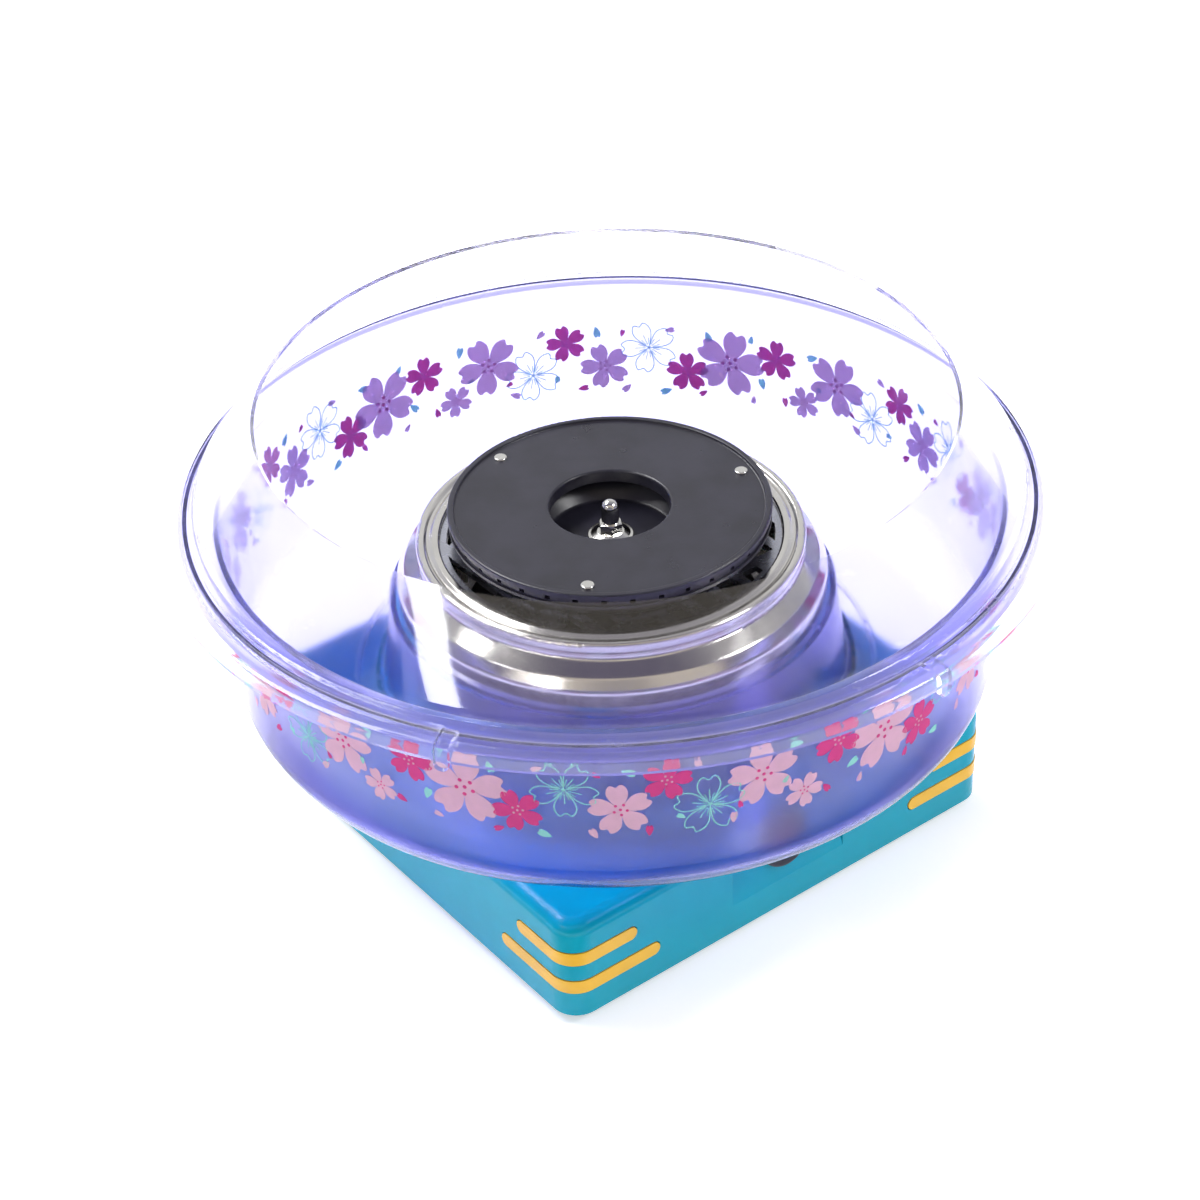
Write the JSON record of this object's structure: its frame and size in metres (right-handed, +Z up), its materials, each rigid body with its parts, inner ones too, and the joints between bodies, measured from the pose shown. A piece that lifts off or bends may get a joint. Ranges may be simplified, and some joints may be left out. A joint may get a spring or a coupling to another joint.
{
  "type": "cotton candy machine",
  "caption": "Table-top cotton candy machine: square base, round bowl with clear splash shield, heated spinning head, round rocker switch.",
  "frame": {"origin": "middle of the base, on the surface that the feet stand on", "axes": "+Z up along the head's axis; -Y is the front, the side with the rocker switch; +X is to the right when facing the front"},
  "size_m": [0.331, 0.3344, 0.1757],
  "materials": {
    "teal_plastic": "glossy moulded teal",
    "yellow_trim": "glossy yellow moulding",
    "black_plastic": "satin black moulding",
    "white_moulding": "natural nylon",
    "fan_plastic": "satin black moulding",
    "guard_plastic": "satin heat-proof moulding",
    "red_rocker": "translucent dark red",
    "circuit_board": "solder-masked board",
    "foot_rubber": "matt rubber",
    "damper_rubber": "matt rubber",
    "zinc_screws": "zinc plated",
    "zinc_sheet": "zinc-plated sheet",
    "bright_sheet": "bright sheet",
    "bright_steel": "nickel plated",
    "polished_steel": "polished stainless sheet",
    "core_steel": "stacked laminations",
    "magnet_grey": "sintered, dull",
    "bronze_bush": "sintered bronze",
    "brass_parts": "plain brass",
    "copper_coils": "enamelled copper",
    "heater_sheath": "oxidised tube",
    "white_ceramic": "steatite ceramic",
    "black_enamel": "satin black non-stick coat on aluminium",
    "lavender_bowl": "tinted clear moulding, printed outside",
    "clear_shield": "clear moulding"
  },
  "bodies": {
    "base": {"base_housing": "teal_plastic", "base_plate": "black_plastic", "board_screws": "zinc_screws", "bush_lower": "bronze_bush", "bush_upper": "bronze_bush", "carbon_brushes": "magnet_grey", "ceramic_bushes": "white_ceramic", "clamp_screws": "zinc_screws", "cord_gland": "black_plastic", "corner_trim_front_left": "yellow_trim", "corner_trim_front_right": "yellow_trim", "corner_trim_rear_left": "yellow_trim", "corner_trim_rear_right": "yellow_trim", "foot_front_left": "foot_rubber", "foot_front_right": "foot_rubber", "foot_rear_left": "foot_rubber", "foot_rear_right": "foot_rubber", "foot_screws": "zinc_screws", "gland_nut": "black_plastic", "guard_clamps": "zinc_sheet", "guard_grille": "guard_plastic", "heat_reflector": "bright_sheet", "heater_cradles": "white_ceramic", "heater_ring": "heater_sheath", "hub_nuts": "zinc_screws", "hub_ring": "polished_steel", "hub_screws": "zinc_screws", "motor_bracket": "zinc_sheet", "motor_can": "zinc_sheet", "motor_dampers": "damper_rubber", "motor_end_cap": "white_moulding", "motor_magnets": "magnet_grey", "motor_screws": "zinc_screws", "motor_tabs": "brass_parts", "plate_screws": "zinc_screws", "rectifier_board": "circuit_board", "switch_body": "black_plastic", "switch_terminals": "brass_parts", "thermal_cutout": "white_ceramic"},
    "rotor": {"motor_shaft": "bright_steel", "armature_core": "core_steel", "armature_coils": "copper_coils", "commutator": "copper_coils", "cooling_fan": "fan_plastic", "drive_collar": "brass_parts", "drive_pin": "bright_steel", "head_pan": "black_enamel", "slot_band": "black_enamel", "head_lid": "black_enamel", "head_rivets": "bright_steel", "rivet_spacers": "bright_steel", "clamp_washer": "bright_steel", "cap_nut": "bright_steel"},
    "rocker": {"switch_rocker": "red_rocker"},
    "bowl": {"floss_bowl": "lavender_bowl"},
    "shield": {"splash_shield": "clear_shield"}
  },
  "joints": [
    {"name": "head_spin", "type": "hinge", "parent": "base", "child": "rotor", "pos_m": [0, 0, 0.1], "axis": [0, 0, 1], "continuous": true},
    {"name": "switch_rock", "type": "hinge", "parent": "base", "child": "rocker", "pos_m": [0, -0.09568, 0.03349], "axis": [-1, 0, 0], "range_deg": [0, 20]},
    {"name": "bowl_lift", "type": "slide", "parent": "base", "child": "bowl", "axis": [0, 0, 1], "range_m": [0, 0.08]},
    {"name": "shield_lift", "type": "slide", "parent": "bowl", "child": "shield", "axis": [0, 0, 1], "range_m": [0, 0.05]}
  ]
}
